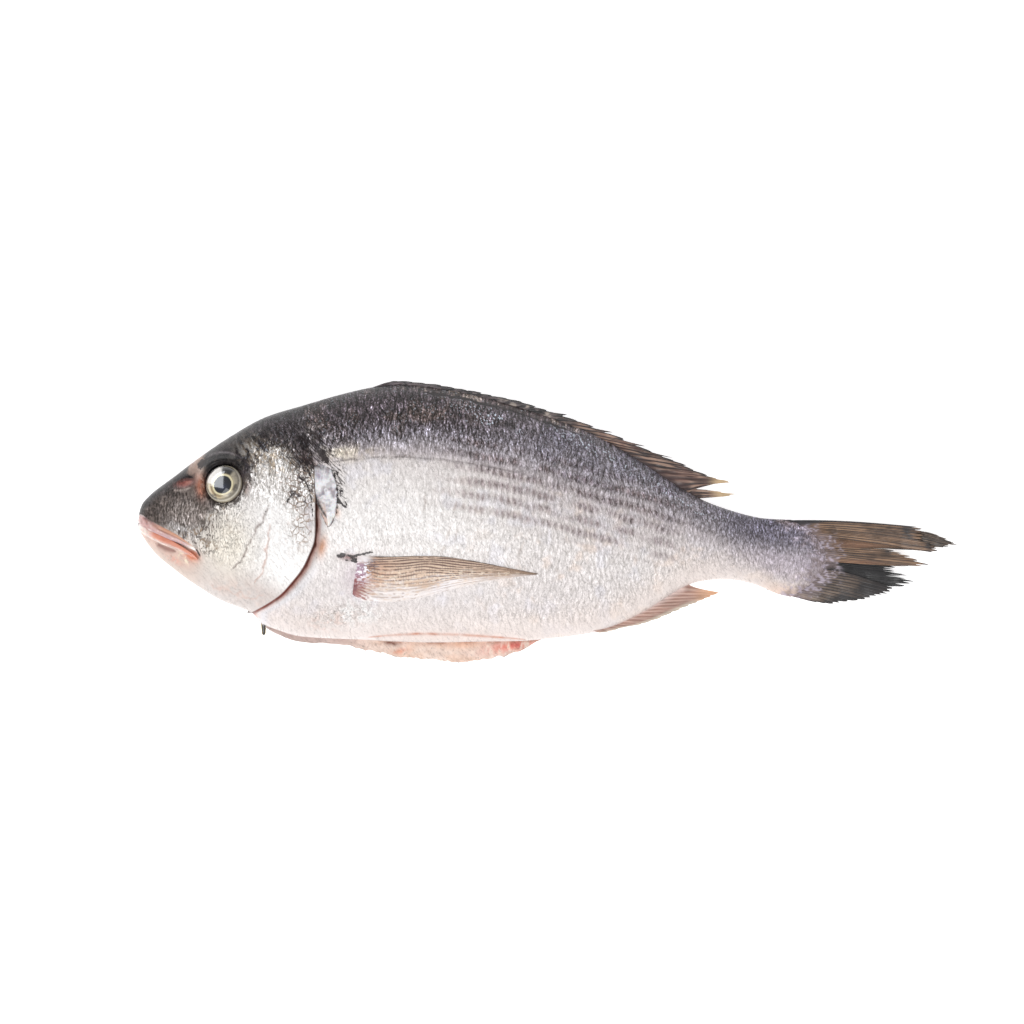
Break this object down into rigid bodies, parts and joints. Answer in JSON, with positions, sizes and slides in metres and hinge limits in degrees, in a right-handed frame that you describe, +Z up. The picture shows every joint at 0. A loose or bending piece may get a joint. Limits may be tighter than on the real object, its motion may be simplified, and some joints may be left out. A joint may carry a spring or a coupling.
{
  "type": "whole raw sea bream",
  "caption": "Whole gutted sea bream lying on its right flank, with folded fins, a forked tail, closed gill covers and a cut belly.",
  "frame": {"origin": "middle of the footprint of its box, on the surface the fish lies on", "axes": "+X from the snout to the tail, +Y from the belly to the back, +Z up, out of the left flank"},
  "size_m": [0.2996, 0.1028, 0.0399],
  "materials": {
    "skin": "wet silvery scales, slate grey along the back",
    "fin": "translucent brown membrane over bony rays",
    "flesh": "wet pink flesh and lips",
    "eye": "clear cornea over a pale gold ring and a black pupil"
  },
  "bodies": {
    "root": {"fish": "skin", "eye_left": "eye", "eye_right": "eye"}
  },
  "joints": []
}
